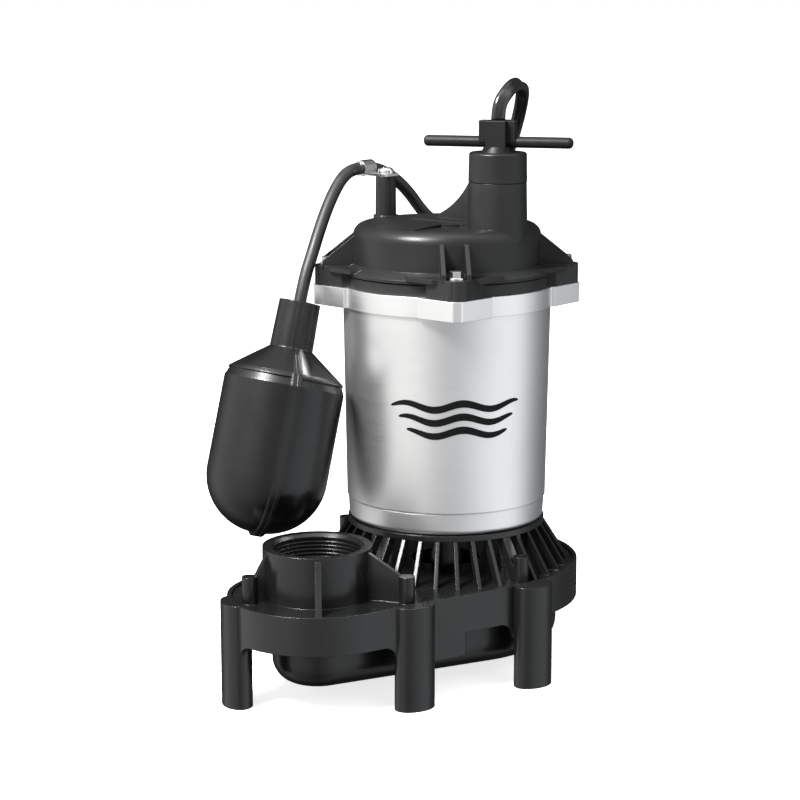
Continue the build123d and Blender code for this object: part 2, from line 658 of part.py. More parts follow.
    # Hollow of the cap and the bores
    with BuildSketch(level(FLANGE_TOP)) as hollow:
        Circle(50)
    extrude(amount=31.5, mode=Mode.SUBTRACT)
    with BuildSketch(level(FLANGE_TOP)) as gasket_groove:
        Circle(58)
    extrude(amount=1.5, mode=Mode.SUBTRACT)
    with BuildSketch(tower_plane.offset(FLANGE_TOP + 40)) as socket_bore:
        Circle(PLUG_R)
    extrude(amount=60, mode=Mode.SUBTRACT)
    with BuildSketch(tower_plane.offset(FLANGE_TOP + 31)) as pin_way:
        Circle(8)
    extrude(amount=10, mode=Mode.SUBTRACT)
    with BuildSketch(Plane(origin=at(44, 0, 238), x_dir=(0, 1, 0), z_dir=(1, 0, 0))) as gland_way:
        Circle(FLOAT_CORD / 2 + 1.4)
    extrude(amount=16, mode=Mode.SUBTRACT)
    with BuildSketch(Plane(origin=at(0, POST_Y, CLAMP_POST_TOP - 14))) as clamp_screw_hole:
        Circle(2.0)
    extrude(amount=20, mode=Mode.SUBTRACT)
    for corner in range(4):
        x, y = polar(EAR_SCREW_R, 45 + 90 * corner)
        with BuildSketch(Plane(origin=at(x, y, FLANGE_TOP - 1))) as ear_screw_way:
            Circle(2.6)
        extrude(amount=14, mode=Mode.SUBTRACT)
cap.part.label = "cap"

with BuildPart() as tower_collar:
    with BuildSketch(tower_plane.offset(TOWER_SEAM + 0.3)) as collar:
        Circle(TOWER_R - 0.55)
    extrude(amount=TOWER_TOP - TOWER_SEAM - 0.3, taper=1.0)
    fillet(tower_collar.edges().group_by(Axis.Z)[-1], 1.2)
    with BuildSketch(tower_plane.offset(TOWER_SEAM)) as collar_seat:
        Circle(TOWER_R - 1.6)
    extrude(amount=0.3)
    with BuildSketch(tower_plane.offset(TOWER_SEAM)) as collar_bore:
        Circle(PLUG_R)
    extrude(amount=20, mode=Mode.SUBTRACT)
tower_collar.part.label = "tower_collar"

with BuildPart() as cap_gasket:
    with BuildSketch(level(FLANGE_TOP)) as flat_ring:
        Circle(58)
        Circle(SHELL_BORE_R, mode=Mode.SUBTRACT)
    extrude(amount=1.5)
cap_gasket.part.label = "cap_gasket"

with BuildPart() as cap_screws:
    for corner in range(4):
        x, y = polar(EAR_SCREW_R, 45 + 90 * corner)
        with BuildSketch(Plane(origin=at(x, y, EAR_TOP))) as washer:
            Circle(4.8)
        extrude(amount=1.2)
        with BuildSketch(Plane(origin=at(x, y, EAR_TOP + 1.2))) as hex_head:
            RegularPolygon(4.2, 6, rotation=15)
        extrude(amount=3.6, taper=4)
        with BuildSketch(Plane(origin=at(x, y, EAR_TOP))) as cap_screw_shank:
            Circle(2.5)
        extrude(amount=-20)
cap_screws.part.label = "cap_screws"

# Connector with its carrying handle, moulded in one piece
bar_axis = polar(1, BAR_TURN)
handle_plane = Plane(origin=at(0, TOWER_Y, 0), x_dir=(*bar_axis, 0), z_dir=(0, 0, 1))
with BuildPart() as handle:
    with BuildSketch(tower_plane.offset(FLANGE_TOP + 42)) as plug_body:
        Circle(PLUG_R)
    extrude(amount=TOWER_TOP - FLANGE_TOP - 42)
    with BuildSketch(tower_plane.offset(TOWER_TOP)) as foot_collar:
        Circle(9.4)
    extrude(amount=3.2, taper=25)
    with BuildSketch(handle_plane.offset(TOWER_TOP)) as front_slab:
        Rectangle(11.2, 15.5)
    extrude(amount=HANDLE_TOP - TOWER_TOP)
    with BuildSketch(handle_plane.offset(BAR_Z)) as side_slab:
        Rectangle(20.6, 7.4)
    extrude(amount=HANDLE_TOP - BAR_Z)
    fillet(handle.edges().group_by(Axis.Z)[-1], 0.5)
    bar_tip = handle_plane.origin + Vector(0, 0, BAR_Z) - Vector(*bar_axis, 0) * (BAR_LENGTH / 2)
    with BuildSketch(Plane(origin=bar_tip, z_dir=(*bar_axis, 0))) as bar:
        Circle(BAR_R)
    extrude(amount=BAR_LENGTH)
    along_bar = handle.edges().filter_by(GeomType.CIRCLE).sort_by(Axis(bar_tip, (*bar_axis, 0)))
    fillet([along_bar[0], along_bar[-1]], BAR_R - 0.7)
handle.part.label = "handle"

with BuildPart() as terminal_pins:
    for index in range(3):
        x, y = polar(4.6, 90 + 120 * index)
        with BuildSketch(Plane(origin=at(x, TOWER_Y + y, FLANGE_TOP + 32))) as pin:
            Circle(1.1)
        extrude(amount=10)
terminal_pins.part.label = "terminal_pins"

# Clip that holds the float cord on the clamp post
clip_line = Vector(CLIP[0], CLIP[1] - POST_Y, 0).normalized()
cord_heading = Vector(-clip_line.Y, clip_line.X, 0)
clip_exit = at(*CLIP) + cord_heading * CLIP_HALF_WIDTH
clip_reach = math.dist(CLIP[:2], (0, POST_Y))
tab_height = CLAMP_POST_TOP - CLIP[2]
with BuildPart() as cord_clip:
    with BuildSketch(Plane(origin=clip_exit, x_dir=clip_line, z_dir=-cord_heading)) as strap:
        Circle(FLOAT_CORD / 2 + 1.1)
        with Locations((-clip_reach / 2 - 2.6, tab_height + CLIP_TAB / 2)):
            Rectangle(clip_reach + 5.2, CLIP_TAB)
        Circle(FLOAT_CORD / 2, mode=Mode.SUBTRACT)
    extrude(amount=2 * CLIP_HALF_WIDTH)
    with BuildSketch(Plane(origin=at(0, POST_Y, CLAMP_POST_TOP))) as tab_hole:
        Circle(2.0)
    extrude(amount=CLIP_TAB, mode=Mode.SUBTRACT)
cord_clip.part.label = "cord_clip"

with BuildPart() as clip_screw:
    with BuildSketch(Plane(origin=at(0, POST_Y, CLAMP_POST_TOP + CLIP_TAB))) as clip_screw_head:
        Circle(4.7)
    extrude(amount=3.4)
    fillet(clip_screw.edges().group_by(Axis.Z)[-1], 2.4)
    with BuildSketch(Plane(origin=at(0, POST_Y, CLAMP_POST_TOP + CLIP_TAB + 3.4))) as cross_slot:
        Rectangle(4.4, 1.0)
        Rectangle(1.0, 4.4)
    extrude(amount=-1.2, mode=Mode.SUBTRACT)
    with BuildSketch(Plane(origin=at(0, POST_Y, CLAMP_POST_TOP + CLIP_TAB))) as clip_screw_shank:
        Circle(2.0)
    extrude(amount=-14)
clip_screw.part.label = "clip_screw"

# Float cord: from its gland round to the clip, then down to the float
with BuildPart() as cord_gland:
    with BuildSketch(Plane(origin=at(50.5, 0, 238), x_dir=(0, 1, 0), z_dir=(1, 0, 0))) as sleeve:
        Circle(FLOAT_CORD / 2 + 1.4)
    extrude(amount=6.5)
    with BuildSketch(Plane(origin=at(57, 0, 238), x_dir=(0, 1, 0), z_dir=(1, 0, 0))) as gland_head:
        Circle(6.4)
    extrude(amount=GLAND_FACE_X - 57, taper=14)
cord_gland.part.label = "cord_gland"

with BuildPart() as float_cord:
    with BuildLine() as float_cord_line:
        route_line([at(GLAND_FACE_X, 0, 238), at(73.7, 0, 238), at(85.1, 6.6, 238),
                    at(91.2, 18, 238), at(91.2, 31, 238.4), at(83.5, 42, 239.2),
                    at(71.5, 48.5, 240.6), at(60, 53, 242.8), at(51, 56.5, 247.5),
                    at(43.5, 59, 254.9), at(35.8, 60.5, 264.5), at(26, 61.6, 272.9),
                    at(15.2, 62.7, 279), clip_exit - cord_heading * (2 * CLIP_HALF_WIDTH + 0.6),
                    clip_exit])
    with BuildSketch(Plane(origin=at(GLAND_FACE_X, 0, 238), z_dir=(1, 0, 0))) as float_cord_section:
        Circle(FLOAT_CORD / 2)
    sweep()
float_cord.part.label = "float_cord"

float_up = (Vector(*FLOAT_NECK) - Vector(*FLOAT_TIP)).normalized()
neck_top = at(*FLOAT_NECK)
with BuildPart() as float_cord_free:
    with BuildLine() as free_line:
        route_line([clip_exit, at(-15.6, 61.1, 282), at(-24.8, 60.1, 277), at(-33, 58.8, 269),
                    at(-41, 57.2, 259.2), at(-49, 55, 248.5), at(-56.8, 52.8, 236.8),
                    neck_top + float_up * 14, neck_top])
    with BuildSketch(Plane(origin=clip_exit, z_dir=cord_heading)) as free_section:
        Circle(FLOAT_CORD / 2)
    sweep()
float_cord_free.part.label = "float_cord_free"

# Float: two moulded halves welded along a rib, with the switch inside
seam = Vector(*SEAM_DIRECTION)
seam_radial = (seam - float_up * seam.dot(float_up)).normalized()
seam_normal = seam_radial.cross(float_up)
seam_plane = Plane(origin=neck_top, x_dir=seam_radial, z_dir=seam_normal)


def float_outline(inset, proud):
    """Half outline of the float: x is the radius, y runs down from the neck to the tip."""
    body = FLOAT_R - inset
    tip = FLOAT_LENGTH - inset
    with BuildLine() as half_line:
        Polyline((0, -inset), (NECK_R - inset * 0.8 + proud, -inset),
                 (NECK_R + 0.6 - inset * 0.8 + proud, -27), (31.3 - inset + proud, -41),
                 (body + proud, -48), (body + proud, -100))
        ThreePointArc((body + proud, -100), (26.3 - inset * 0.8 + proud * 0.8, -122),
                      (0, -tip - proud))
        Line((0, -tip - proud), (0, -inset))
    make_face(half_line.edges())


def float_half(side):
    with BuildPart() as half:
        with BuildSketch(seam_plane) as half_outline:
            float_outline(0, 0)
        revolve(axis=Axis(neck_top, float_up), revolution_arc=180 * side)
        with BuildSketch(seam_plane) as shoulder:
            Polygon((25, -41.6), (32.4, -41.6), (33.4, -43.4), (30, -45), (25, -45), align=None)
        revolve(axis=Axis(neck_top, float_up), revolution_arc=180 * side)
        with BuildSketch(seam_plane) as rib:
            float_outline(0, 2)
            mirror(about=Plane.YZ)
        extrude(amount=-2.75 * side)
        with BuildSketch(seam_plane) as float_hollow:
            float_outline(FLOAT_SHELL, 0)
            Rectangle(2 * NECK_R, 14, align=(Align.CENTER, Align.MAX), mode=Mode.SUBTRACT)
        revolve(axis=Axis(neck_top, float_up), revolution_arc=180 * side, mode=Mode.SUBTRACT)
    return half.part


for name, side in (("float_half_a", 1), ("float_half_b", -1)):
    half = float_half(side)
    half.label = name
    export_step(half, f"parts/{name}.step")

float_plane = Plane(origin=neck_top, x_dir=seam_radial, z_dir=float_up)
with BuildPart() as float_switch_case:
    with BuildSketch(float_plane.offset(-56)) as carrier:
        Circle(FLOAT_R - FLOAT_SHELL)
    extrude(amount=2.5)
    with BuildSketch(float_plane.offset(-84)) as ball_channel:
        Circle(11)
    extrude(amount=30)
    with BuildSketch(float_plane.offset(-54)) as switch_box:
        RectangleRounded(28, 20, 2)
    extrude(amount=17)
    with BuildSketch(float_plane.offset(-82)) as channel_bore:
        Circle(BALL_R + 0.35)
    extrude(amount=30, mode=Mode.SUBTRACT)
    with BuildSketch(float_plane.offset(-52)) as switch_room:
        RectangleRounded(24, 16, 1)
    extrude(amount=13.5, mode=Mode.SUBTRACT)
float_switch_case.part.label = "float_switch_case"

with BuildPart() as float_microswitch:
    with BuildSketch(float_plane.offset(-50)) as switch_body:
        Rectangle(20, 6.4)
    extrude(amount=8.4)
    with BuildSketch(float_plane.offset(-51.6)) as switch_button:
        Rectangle(2.4, 3)
    extrude(amount=1.6)
    with BuildSketch(float_plane.offset(-41.6)) as switch_tabs:
        with GridLocations(8, 0, 3, 1):
            Rectangle(0.8, 4)
    extrude(amount=2.6)
float_microswitch.part.label = "float_microswitch"

with BuildPart() as float_ball:
    with BuildSketch(Plane(origin=neck_top - float_up * 73.6, x_dir=seam_radial,
                           z_dir=seam_normal)) as ball_outline:
        Circle(BALL_R)
        Rectangle(2 * BALL_R, 2 * BALL_R, align=(Align.MAX, Align.CENTER), mode=Mode.SUBTRACT)
    revolve(axis=Axis(neck_top, float_up))
float_ball.part.label = "float_ball"

# Power cord: up out of the connector, over and down behind the pump, then coiled on the floor
coil_centre = at(COIL_X, COIL_Y, 0)
entry_heading = Vector(*polar(1, COIL_ENTRY_TURN + 90), 0)
stub_r = COIL_OUTER_R - POWER_CORD / 2 - 1
entry_point = coil_centre + Vector(*polar(stub_r, COIL_ENTRY_TURN), POWER_CORD / 2 + 0.3)
exit_point = coil_centre + Vector(0, stub_r, PLUG_Z)
plug_heading = Vector(-1, 0, 0)
coil_start = entry_point - entry_heading * STUB
with BuildPart() as power_cord:
    with BuildLine() as power_cord_line:
        route_line([at(0, TOWER_Y, HANDLE_TOP), at(0, TOWER_Y, 322.6), at(6.6, -38, 330),
                    at(19, -32.6, 333.2), at(34, -24.8, 333), at(48, -16, 328.9),
                    at(59, -6, 319), at(66.5, 4, 305), at(69.5, 13, 288), at(68.5, 20, 268),
                    at(66.5, 24, 247), at(67, 25, 222), at(70, 24.5, 188), at(75, 22.5, 146),
                    at(81, 19.5, 106), at(87, 15.5, 72), at(93, 12.2, 46),
                    at(101.3, 12.5, 25.2), at(114.8, 16.4, 11.2),
                    coil_start - entry_heading * 19, coil_start])
    with BuildSketch(Plane(origin=at(0, TOWER_Y, HANDLE_TOP),
                           z_dir=power_cord_line.line @ 0.01 - power_cord_line.line @ 0)
                     ) as power_cord_section:
        Circle(POWER_CORD / 2)
    sweep()
power_cord.part.label = "power_cord"

with BuildPart() as power_cord_coil:
    with BuildSketch(Plane(origin=coil_centre)) as ring:
        Circle(COIL_OUTER_R)
        Circle(COIL_INNER_R, mode=Mode.SUBTRACT)
    extrude(amount=COIL_HEIGHT)
    fillet(power_cord_coil.edges().filter_by(GeomType.CIRCLE), 3.5)
    with BuildSketch(Plane(origin=coil_start, z_dir=entry_heading)) as entry_stub:
        Circle(POWER_CORD / 2)
    extrude(amount=STUB)
    with BuildSketch(Plane(origin=exit_point, z_dir=plug_heading)) as exit_stub:
        Circle(POWER_CORD / 2)
    extrude(amount=STUB)
power_cord_coil.part.label = "power_cord_coil"

plug_start = exit_point + plug_heading * STUB


def plug_plane(distance):
    """A plane across the plug, so far from the cord's end."""
    return Plane(origin=plug_start + plug_heading * distance, x_dir=(0, 1, 0), z_dir=plug_heading)


with BuildPart() as plug_relief:
    with BuildSketch(plug_plane(0)) as relief_section:
        Circle(POWER_CORD / 2 + 0.8)
    extrude(amount=14, taper=-8)
plug_relief.part.label = "plug_relief"

with BuildPart() as wall_plug:
    with BuildSketch(plug_plane(14)) as plug_back:
        RectangleRounded(18, 16, 5)
    with BuildSketch(plug_plane(26)) as plug_front:
        RectangleRounded(26, 2 * PLUG_Z - 0.6, 7)
    loft()
    with BuildSketch(plug_plane(26)) as plug_face:
        RectangleRounded(26, 2 * PLUG_Z - 0.6, 7)
    extrude(amount=12)
wall_plug.part.label = "wall_plug"

with BuildPart() as plug_prongs:
    with BuildSketch(plug_plane(38)) as blades:
        with Locations((-6.35, 3), (6.35, 3)):
            Rectangle(1.5, 6.3)
    extrude(amount=16)
    with BuildSketch(plug_plane(38)) as earth_pin:
        with Locations((0, -6.5)):
            Circle(2.4)
    extrude(amount=19)
plug_prongs.part.label = "plug_prongs"

for piece in (base, volute_gasket, base_screws, intake, housing_screws, motor_housing,
              lower_bearing, bearing_bracket, upper_bearing, stator_core, windings, rotor_core,
              motor_shaft, seal_seat, seal_head, impeller, impeller_screw, run_capacitor,
              overload_protector, cap, tower_collar, cap_gasket, cap_screws, handle,
              terminal_pins, cord_clip, clip_screw, cord_gland, float_cord, float_cord_free,
              float_switch_case, float_microswitch, float_ball, power_cord, power_cord_coil,
              plug_relief, wall_plug, plug_prongs):
    export_step(piece.part, f"parts/{piece.part.label}.step")
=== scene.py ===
import math

import bmesh
import bpy
from mathutils import Matrix, Vector


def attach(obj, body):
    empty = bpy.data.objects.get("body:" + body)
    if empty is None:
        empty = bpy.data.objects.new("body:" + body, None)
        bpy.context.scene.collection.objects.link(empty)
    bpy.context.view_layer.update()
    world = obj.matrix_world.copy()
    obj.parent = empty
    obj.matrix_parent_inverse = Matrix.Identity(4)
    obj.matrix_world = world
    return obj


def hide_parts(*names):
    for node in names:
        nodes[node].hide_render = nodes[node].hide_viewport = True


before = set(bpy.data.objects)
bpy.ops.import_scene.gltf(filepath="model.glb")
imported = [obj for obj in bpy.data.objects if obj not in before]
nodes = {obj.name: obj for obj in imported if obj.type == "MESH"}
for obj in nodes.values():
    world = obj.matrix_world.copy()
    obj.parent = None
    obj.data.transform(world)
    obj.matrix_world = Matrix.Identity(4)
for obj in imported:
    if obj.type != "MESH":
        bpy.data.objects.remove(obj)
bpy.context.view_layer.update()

# Places in metres, in the part's own frame
MOTOR_X = 0.0325
CAMERA = Vector((-0.9186, -0.81861, 0.3979))
CAMERA_FORWARD = Vector((0.72974, 0.65590, -0.19306))
LENS_MM = 99.0
RIGHT = Vector((0.66847, -0.74374, 0))
AWAY = Vector((0.74374, 0.66847, 0))
UP = Vector((0, 0, 1))


def at(x, y, z):
    """A point given in millimetres from the motor axis."""
    return Vector((MOTOR_X + x / 1000, y / 1000, z / 1000))


# Materials -------------------------------------------------------------------------------


def put(tree, node, name, value):
    """Joins a socket to an input of the node, or gives the input a value."""
    if isinstance(value, bpy.types.NodeSocket):
        tree.links.new(value, node.inputs[name])
    else:
        node.inputs[name].default_value = value


def add_node(tree, kind, inputs=(), **settings):
    node = tree.nodes.new(kind)
    for name, value in settings.items():
        setattr(node, name, value)
    for name, value in dict(inputs).items():
        put(tree, node, name, value)
    return node


class Nodes:
    """A material and short ways to add and join its shader nodes."""

    def __init__(self, name):
        self.material = bpy.data.materials.new(name)
        self.material.use_nodes = True
        self.tree = self.material.node_tree
        self.shader = self.tree.nodes["Principled BSDF"]
        self.place = self.add("ShaderNodeTexCoord").outputs["Object"]

    def add(self, kind, inputs=(), **settings):
        return add_node(self.tree, kind, inputs, **settings)

    def set(self, **inputs):
        for name, value in inputs.items():
            put(self.tree, self.shader, name.replace("_", " "), value)

    def noise(self, scale, detail=3.0, vector=None):
        return self.add("ShaderNodeTexNoise", {"Vector": vector or self.place, "Scale": scale,
                                               "Detail": detail}).outputs["Fac"]

    def stretched(self, x, y, z):
        return self.add("ShaderNodeMapping", {"Vector": self.place, "Scale": (x, y, z)}).outputs[0]

    def remap(self, value, low, high, to_low, to_high):
        return self.add("ShaderNodeMapRange", {"Value": value, "From Min": low, "From Max": high,
                                               "To Min": to_low, "To Max": to_high}).outputs[0]

    def math(self, operation, a, b=0.0):
        return self.add("ShaderNodeMath", {0: a, 1: b}, operation=operation).outputs[0]

    def mix(self, factor, a, b):
        """A colour between a and b; sockets 6, 7 and 2 are the node's colour ones."""
        return self.add("ShaderNodeMix", {0: factor, 6: a, 7: b}, data_type="RGBA").outputs[2]

    def surface(self, rounding, bumps):
        """Softened edges, then each (height, distance) pair as a fine relief."""
        normal = self.add("ShaderNodeBevel", {"Radius": rounding}, samples=6).outputs[0]
        for height, distance in bumps:
            normal = self.add("ShaderNodeBump", {"Height": height, "Distance": distance,
                                                 "Strength": 1.0, "Normal": normal}).outputs[0]
        self.set(Normal=normal)


def grey(value, blue=1.0):
    return (value, value, value * blue, 1)


def moulded_plastic(name, shade, roughness, grain=0.00004, rounding=0.0006, shine=0.22):
    """Injection-moulded plastic: fine spark grain, slow gloss variation and paler worn edges."""
    m = Nodes(name)
    cloud = m.noise(28.0, 4.0)
    speck = m.noise(900.0, 2.0)
    tone = m.mix(m.remap(cloud, 0.35, 0.65, 0, 1), grey(shade * 0.86, 1.02),
                 grey(shade * 1.12, 0.97))
    edge = m.remap(m.add("ShaderNodeNewGeometry").outputs["Pointiness"], 0.53, 0.62, 0, 0.35)
    m.set(Base_Color=m.mix(edge, tone, grey(shade * 2.4)),
          Roughness=m.remap(m.math("ADD", cloud, m.math("MULTIPLY", speck, 0.5)), 0.45, 1.05,
                            roughness - 0.06, roughness + 0.07),
          Specular_IOR_Level=shine)
    m.surface(rounding, [(m.noise(1500.0, 2.0), grain), (m.noise(9.0, 1.0), grain * 5)])
    return m.material


def satin_metal(name, shade, roughness, rounding=0.0005, brushed=0.0, tint=(1.0, 1.0, 1.0)):
    """Die-cast or sheet metal: satin, with faint casting ripple and optional turning lines."""
    m = Nodes(name)
    ripple = m.noise(14.0, 3.0)
    grain = m.noise(1400.0, 2.0)
    lines = m.noise(1.0, 3.0, m.stretched(60, 60, 2600))
    dark, light = (tuple(shade * share * part for part in tint) for share in (0.96, 1.03))
    tone = m.mix(m.remap(ripple, 0.35, 0.65, 0, 1), (*dark, 1), (*light, 1))
    m.set(Base_Color=tone, Metallic=1.0,
          Roughness=m.remap(m.math("ADD", grain, lines), 0.7, 1.3, roughness - 0.03,
                            roughness + 0.04))
    m.surface(rounding, [(grain, 0.000012), (lines, brushed), (ripple, 0.00006)])
    return m.material


def wound_copper(name):
    m = Nodes(name)
    strands = m.add("ShaderNodeTexWave", {"Vector": m.place, "Scale": 190.0, "Distortion": 6.0,
                                          "Detail": 3.0, "Detail Scale": 2.0},
                    bands_direction="DIAGONAL").outputs["Fac"]
    m.set(Base_Color=m.mix(strands, (0.16, 0.05, 0.02, 1), (0.62, 0.27, 0.10, 1)), Metallic=0.8,
          Roughness=m.remap(m.noise(200.0), 0.3, 0.7, 0.28, 0.45), Coat_Weight=0.6)
    m.surface(0.0008, [(strands, 0.0004)])
    return m.material


def laminations(name):
    m = Nodes(name)
    sheets = m.add("ShaderNodeTexWave", {"Vector": m.place, "Scale": 300.0, "Distortion": 0.4},
                   bands_direction="Z").outputs["Fac"]
    rust = m.noise(40.0, 5.0)
    m.set(Base_Color=m.mix(m.remap(rust, 0.5, 0.7, 0, 0.4), grey(0.20, 1.05),
                           (0.18, 0.10, 0.06, 1)),
          Metallic=0.9, Roughness=m.remap(rust, 0.3, 0.7, 0.35, 0.6))
    m.surface(0.0003, [(sheets, 0.00015)])
    return m.material


def cord_jacket(name, shade, roughness, coat=0.0):
    """Extruded cord jacket: fine relief, dust and scuffs."""
    m = Nodes(name)
    scuff = m.noise(120.0, 5.0)
    m.set(Base_Color=m.mix(m.remap(scuff, 0.45, 0.7, 0, 1), grey(shade), grey(shade * 1.6, 0.98)),
          Roughness=m.remap(scuff, 0.35, 0.7, roughness - 0.05, roughness + 0.08),
          Coat_Weight=coat, Coat_Roughness=0.08)
    m.surface(0.0003, [(m.noise(700.0, 2.0), 0.00003), (m.noise(35.0, 2.0), 0.00012)])
    return m.material


black_plastic = moulded_plastic("black_plastic", 0.011, 0.33, grain=0.000014, shine=0.28)
base_plastic = moulded_plastic("base_plastic", 0.006, 0.25, grain=0.000005, shine=0.45)
float_plastic = moulded_plastic("float_plastic", 0.005, 0.25, grain=0.000003, rounding=0.0010,
                                shine=0.42)
handle_plastic = moulded_plastic("handle_plastic", 0.008, 0.42, rounding=0.0004, shine=0.18)
gloss_vinyl = cord_jacket("gloss_vinyl", 0.005, 0.20, coat=0.5)
matte_rubber = cord_jacket("matte_rubber", 0.010, 0.46)
seal_rubber = cord_jacket("seal_rubber", 0.018, 0.60)
cast_metal = satin_metal("cast_metal", 0.80, 0.40)
bracket_metal = satin_metal("bracket_metal", 0.62, 0.38)
bright_steel = satin_metal("bright_steel", 0.82, 0.20, rounding=0.0003)
turned_steel = satin_metal("turned_steel", 0.66, 0.24, rounding=0.0003, brushed=0.00002)
aged_brass = satin_metal("aged_brass", 0.72, 0.26, rounding=0.0002, tint=(1.0, 0.70, 0.28))
copper = wound_copper("copper")
steel_sheets = laminations("steel_sheets")
ceramic = moulded_plastic("ceramic", 0.62, 0.30)
white_plastic = moulded_plastic("white_plastic", 0.70, 0.35)
grey_plastic = moulded_plastic("grey_plastic", 0.22, 0.45)

FINISHES = {
    "base": base_plastic, "intake": base_plastic, "cap": black_plastic,
    "tower_collar": black_plastic, "handle": handle_plastic, "float_half_a": float_plastic,
    "float_half_b": float_plastic, "impeller": base_plastic, "motor_housing": cast_metal,
    "bearing_bracket": bracket_metal, "run_capacitor": bracket_metal, "cap_screws": bright_steel,
    "base_screws": turned_steel, "housing_screws": turned_steel, "clip_screw": bright_steel,
    "lower_bearing": turned_steel, "upper_bearing": turned_steel, "motor_shaft": turned_steel,
    "impeller_screw": turned_steel, "float_ball": bright_steel, "stator_core": steel_sheets,
    "rotor_core": steel_sheets, "windings": copper, "terminal_pins": aged_brass,
    "plug_prongs": aged_brass, "seal_seat": ceramic, "seal_head": seal_rubber,
    "volute_gasket": seal_rubber, "cap_gasket": seal_rubber, "cord_gland": seal_rubber,
    "overload_protector": grey_plastic, "float_switch_case": white_plastic,
    "float_microswitch": grey_plastic, "cord_clip": bright_steel, "wall_plug": gloss_vinyl,
    "plug_relief": gloss_vinyl,
}
for name, material in FINISHES.items():
    nodes[name].data.materials.clear()
    nodes[name].data.materials.append(material)


# Cords -----------------------------------------------------------------------------------


def route_curve(name, points):
    """A smooth curve led by the route's points."""
    curve = bpy.data.curves.new(name, "CURVE")
    curve.dimensions = "3D"
    curve.resolution_u = 12
    spline = curve.splines.new("NURBS")
    spline.points.add(len(points) - 1)
    for control, point in zip(spline.points, points):
        control.co = (*point, 1)
    spline.order_u = 3
    spline.use_endpoint_u = True
    piece = bpy.data.objects.new(name, curve)
    bpy.context.scene.collection.objects.link(piece)
    return piece


def line_of(piece):
    """The points that a curve with no bevel runs through."""
    mesh = bpy.data.meshes.new_from_object(piece.evaluated_get(
        bpy.context.evaluated_depsgraph_get()))
    points = [v.co.copy() for v in mesh.vertices]
    bpy.data.meshes.remove(mesh)
    return points


def mesh_piece(name, bm, material, body, smooth=True):
    mesh = bpy.data.meshes.new(name)
    bm.to_mesh(mesh)
    bm.free()
    for face in mesh.polygons:
        face.use_smooth = smooth
    mesh.materials.append(material)
    piece = bpy.data.objects.new(name, mesh)
    bpy.context.scene.collection.objects.link(piece)
    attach(piece, body)
    return piece


FLOAT_CORD = 0.0072
CLIP = at(-1.5, 62.5, 282.2)
POST_Y = 47.4
CLIP_HALF = 0.0055  # from the middle of the clip to either face along the cord
CLIP_LEAD = 0.0116  # straight cord before the clip
NECK_LEAD = 0.014  # straight cord above the float's neck
clip_line = Vector((-1.5, 62.5 - POST_Y, 0)).normalized()
cord_heading = Vector((-clip_line.y, clip_line.x, 0))
clip_exit = CLIP + cord_heading * CLIP_HALF
gland_exit = at(60.5, 0, 238)

fixed_cord = route_curve("float_cord_fixed", [
    gland_exit, at(73.7, 0, 238), at(85.1, 6.6, 238), at(91.2, 18, 238), at(91.2, 31, 238.4),
    at(83.5, 42, 239.2), at(71.5, 48.5, 240.6), at(60, 53, 242.8), at(51, 56.5, 247.5),
    at(43.5, 59, 254.9), at(35.8, 60.5, 264.5), at(26, 61.6, 272.9), at(15.2, 62.7, 279),
    clip_exit - cord_heading * CLIP_LEAD, clip_exit])
neck_top = at(-67.6, 52, 210.9)
float_up = (neck_top - at(-104.8, 52, 82.6)).normalized()
free_cord = route_curve("float_cord_hanging", [
    clip_exit, at(-15.6, 61.1, 282), at(-24.8, 60.1, 277), at(-33, 58.8, 269),
    at(-41, 57.2, 259.2), at(-49, 55, 248.5), at(-56.8, 52.8, 236.8),
    neck_top + float_up * NECK_LEAD, neck_top])
for piece, body, cad in ((fixed_cord, "pump", "float_cord"),
                         (free_cord, "float", "float_cord_free")):
    piece.data.bevel_depth = FLOAT_CORD / 2
    piece.data.bevel_resolution = 8
    piece.data.use_fill_caps = True
    piece.data.materials.append(matte_rubber)
    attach(piece, body)
    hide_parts(cad)

# Power cord: a flat twin cord from the connector down behind the pump to a neat coil
CORD_WIDTH = 0.008
CORD_THICKNESS = 0.005
COIL_CENTRE = at(135.1, 94.9, 0)
ENTRY_TURN = math.radians(-48)
EXIT_TURN = math.radians(90)
PLUG_Z = 0.010
STUB = 0.032
STUB_R = 0.048
INNER_R = 0.0395
OUTER_R = 0.0485
PITCH = 0.0054
INNER_TURNS = 4.0
OUTER_TURNS = 3
POINTS_PER_TURN = 20
FLOOR_GAP = 0.0002  # between the lowest turn and the floor
ENTRY_Z = 0.0043
ENTRY_LEAD = 0.019
ENTRY_FOLLOW = 0.016
EXIT_Z = 0.0088
EXIT_LEAD = Vector((0.012, 0, 0))
LOBE_POINTS = 9
LOBE_SPREAD = 115  # degrees each way round one lobe
LIE_FLAT_BELOW = 0.030
LIE_FLAT_OVER = 0.015
LOOP_TWIST = math.radians(55)
LOOP_TWIST_AT = 0.035
LOOP_TWIST_SPREAD = 0.02


def around(angle, radius, height):
    return COIL_CENTRE + Vector((radius * math.cos(angle), radius * math.sin(angle), height))


